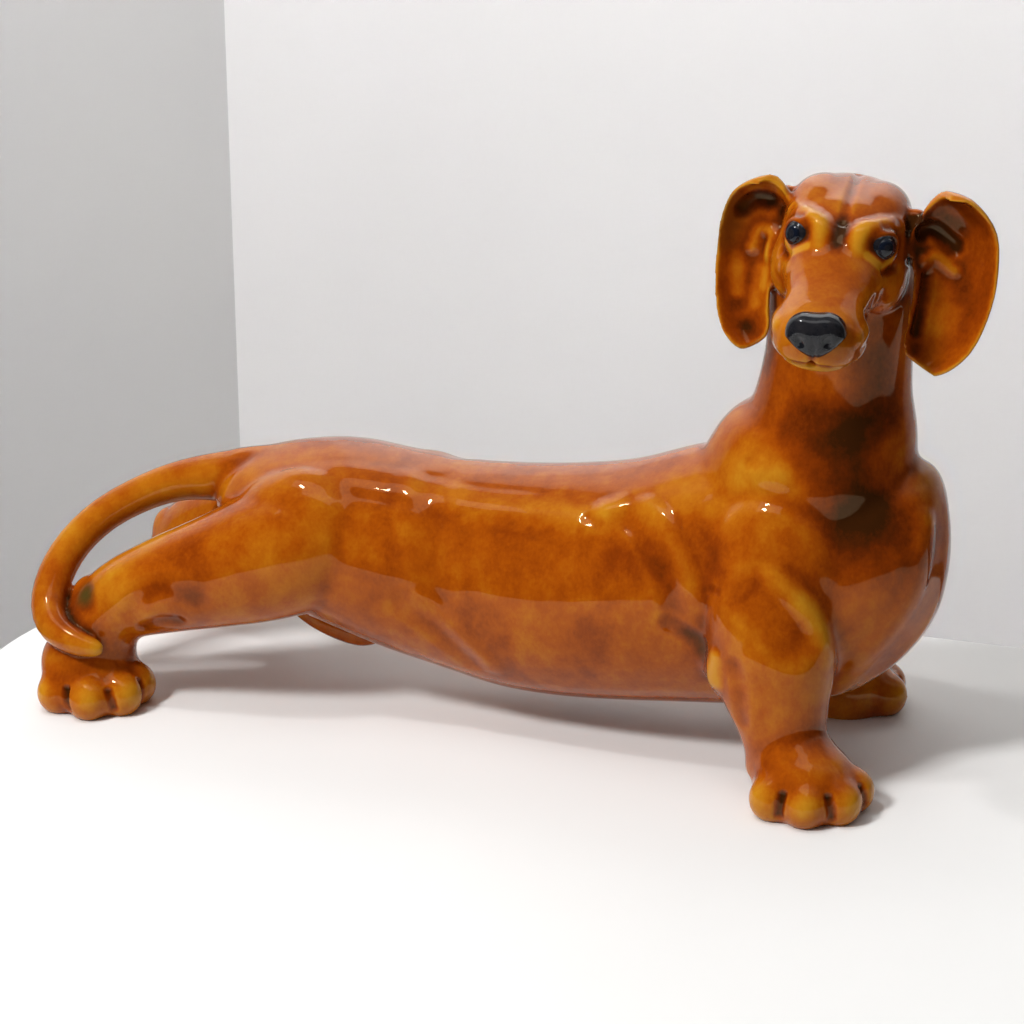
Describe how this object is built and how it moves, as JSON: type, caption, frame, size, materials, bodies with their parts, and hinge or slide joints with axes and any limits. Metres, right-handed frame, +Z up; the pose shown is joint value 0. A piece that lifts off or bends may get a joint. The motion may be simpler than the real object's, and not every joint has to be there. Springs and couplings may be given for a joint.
{
  "type": "ceramic dog figurine",
  "caption": "Long-bodied, short-legged ceramic hound standing square, head turned to its right, ears swung forward and tail curled down to the hock, in glossy honey-brown glaze.",
  "frame": {"origin": "middle of the footprint, on the plane of the soles", "axes": "+X from tail to chest, +Y to the dog's left side, +Z up"},
  "size_m": [0.3144, 0.13, 0.1911],
  "materials": {
    "honey_glaze": "glossy translucent honey-brown glaze, darker where it pools",
    "black_glaze": "glossy black glaze"
  },
  "bodies": {
    "root": {"trunk_shell": "honey_glaze", "head_and_neck": "honey_glaze", "right_ear": "honey_glaze", "left_ear": "honey_glaze", "right_foreleg": "honey_glaze", "left_foreleg": "honey_glaze", "right_hind_leg": "honey_glaze", "left_hind_leg": "honey_glaze", "tail": "honey_glaze", "nose": "black_glaze", "right_eye": "black_glaze", "left_eye": "black_glaze"}
  },
  "joints": []
}
